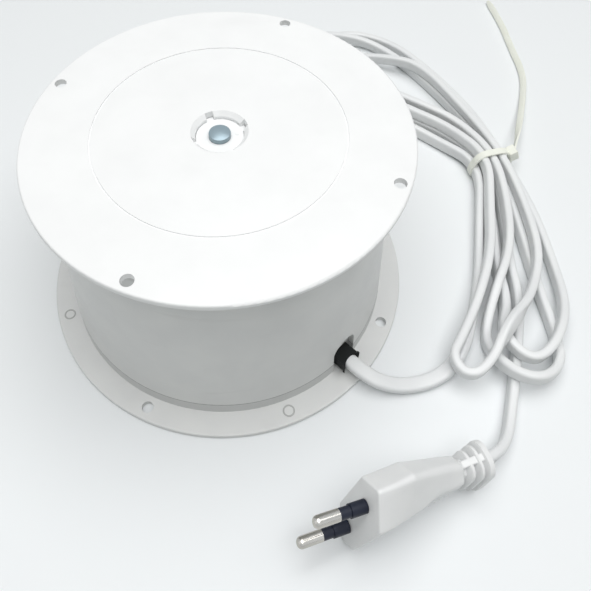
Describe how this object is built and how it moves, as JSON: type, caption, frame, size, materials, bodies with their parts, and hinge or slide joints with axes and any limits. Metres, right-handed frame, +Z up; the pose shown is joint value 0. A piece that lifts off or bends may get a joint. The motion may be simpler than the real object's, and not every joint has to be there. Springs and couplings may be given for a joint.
{
  "type": "rotating display turntable",
  "caption": "White motorised display turntable: a round plate on a tapered drum with a flanged base, a black cord sleeve and a bundled flat mains cord with a plug.",
  "frame": {"origin": "on the turning axis, on the surface that the base stands on", "axes": "+Z up along the turning axis; -Y towards the side that the picture is taken from"},
  "size_m": [0.2567, 0.3007, 0.089],
  "materials": {
    "white_plate": "semi-gloss moulded",
    "white_drum": "semi-gloss moulded",
    "white_nylon": "moulded",
    "plated_steel": "zinc plated",
    "bearing_steel": "ground",
    "bronze": "sintered",
    "motor_steel": "drawn and plated",
    "gear_acetal": "moulded",
    "cord_pvc": "soft PVC",
    "black_sleeve": "soft PVC",
    "plug_pvc": "soft PVC",
    "pin_nickel": "nickel plated",
    "pin_insulation": "moulded",
    "tie_nylon": "natural nylon"
  },
  "bodies": {
    "housing": {"drum_housing": "white_drum", "base_plate": "white_drum", "base_screws": "plated_steel", "upper_bush": "bronze", "lower_bush": "bronze", "lower_race": "bearing_steel", "motor_can": "motor_steel", "motor_gearcase": "motor_steel", "motor_face_plate": "motor_steel", "motor_screws": "plated_steel", "cord_sleeve": "black_sleeve", "cord_inner": "cord_pvc", "cord_clamp": "white_nylon", "clamp_screws": "plated_steel", "terminal_block": "white_nylon", "terminal_screws": "bronze", "motor_leads": "cord_pvc", "power_cord": "cord_pvc", "cord_hank": "cord_pvc", "plug_cord": "cord_pvc", "cable_tie": "tie_nylon", "plug_body": "plug_pvc", "plug_relief": "plug_pvc", "plug_pins": "pin_nickel", "pin_sleeves": "pin_insulation"},
    "turntable": {"turntable_plate": "white_plate", "drive_hub": "white_plate", "hub_screws": "plated_steel", "hub_pin": "plated_steel", "spindle": "plated_steel", "retaining_ring": "bearing_steel", "upper_race": "bearing_steel", "spindle_gear": "gear_acetal", "gear_pin": "plated_steel"},
    "bearing_cage": {"ball_cage": "white_nylon", "bearing_balls": "bearing_steel"},
    "motor_output": {"motor_shaft": "plated_steel", "pinion": "gear_acetal", "pinion_screw": "bearing_steel"}
  },
  "joints": [
    {"name": "plate_spin", "type": "hinge", "parent": "housing", "child": "turntable", "pos_m": [0, 0, 0.08], "axis": [0, 0, 1], "continuous": true},
    {"name": "cage_spin", "type": "hinge", "parent": "housing", "child": "bearing_cage", "pos_m": [0, 0, 0.0772], "axis": [0, 0, 1], "continuous": true},
    {"name": "motor_spin", "type": "hinge", "parent": "housing", "child": "motor_output", "pos_m": [-0.02317, 0.02762, 0.05], "axis": [0, 0, 1], "continuous": true}
  ],
  "couplings": [
    {"joint": "motor_spin", "follows": "plate_spin", "ratio": -3},
    {"joint": "cage_spin", "follows": "plate_spin", "ratio": 0.5}
  ]
}
